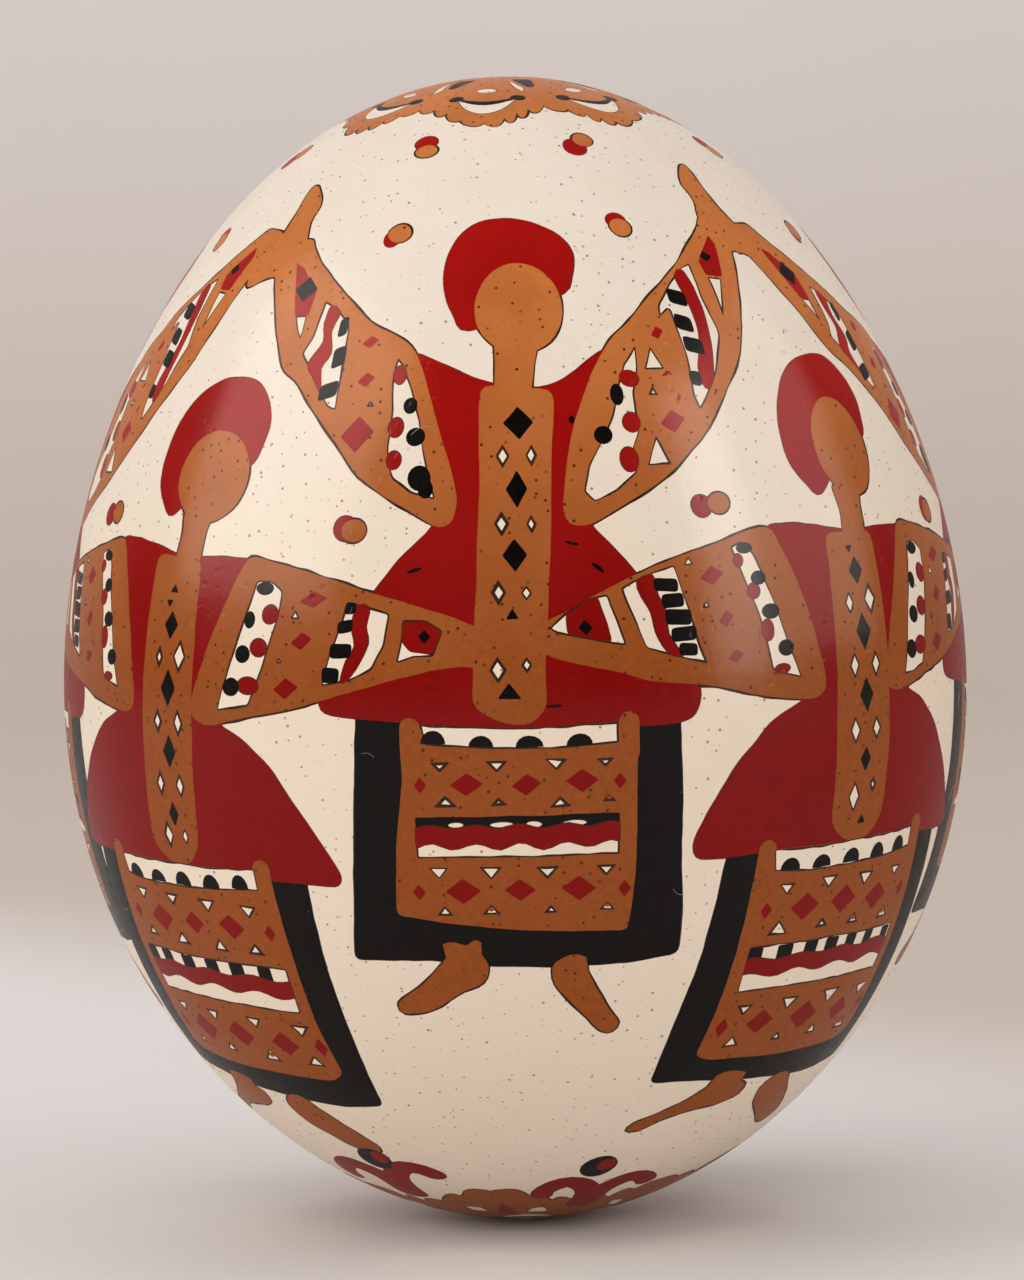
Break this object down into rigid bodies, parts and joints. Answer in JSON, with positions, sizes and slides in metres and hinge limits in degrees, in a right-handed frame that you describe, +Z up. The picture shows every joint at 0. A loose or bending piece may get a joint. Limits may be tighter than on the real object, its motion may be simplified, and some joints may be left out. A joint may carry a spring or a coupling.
{
  "type": "decorated egg",
  "caption": "Blown hen's egg with a wax-resist dyed folk pattern of dancing figures, varnished, standing on its blunt end.",
  "frame": {"origin": "the egg's lowest point, on its axis, at the blunt end that it stands on", "axes": "+Z up along the egg's axis to the crown; -Y is the front, the side with the upper dancer who wears the full-width apron between two lower dancers"},
  "size_m": [0.0448, 0.0448, 0.057],
  "materials": {
    "varnish": "satin",
    "dyed_cuticle": "satin",
    "natural_ground": "satin",
    "orange_dye": "satin",
    "red_dye": "satin",
    "black_dye": "satin",
    "eggshell": "matte",
    "membrane": "matte",
    "beeswax": "satin"
  },
  "bodies": {
    "root": {"varnish_coat": "varnish", "dyed_cuticle": "dyed_cuticle", "shell": "eggshell", "outer_membrane": "membrane", "inner_membrane": "membrane", "hole_plug": "beeswax"}
  },
  "joints": []
}
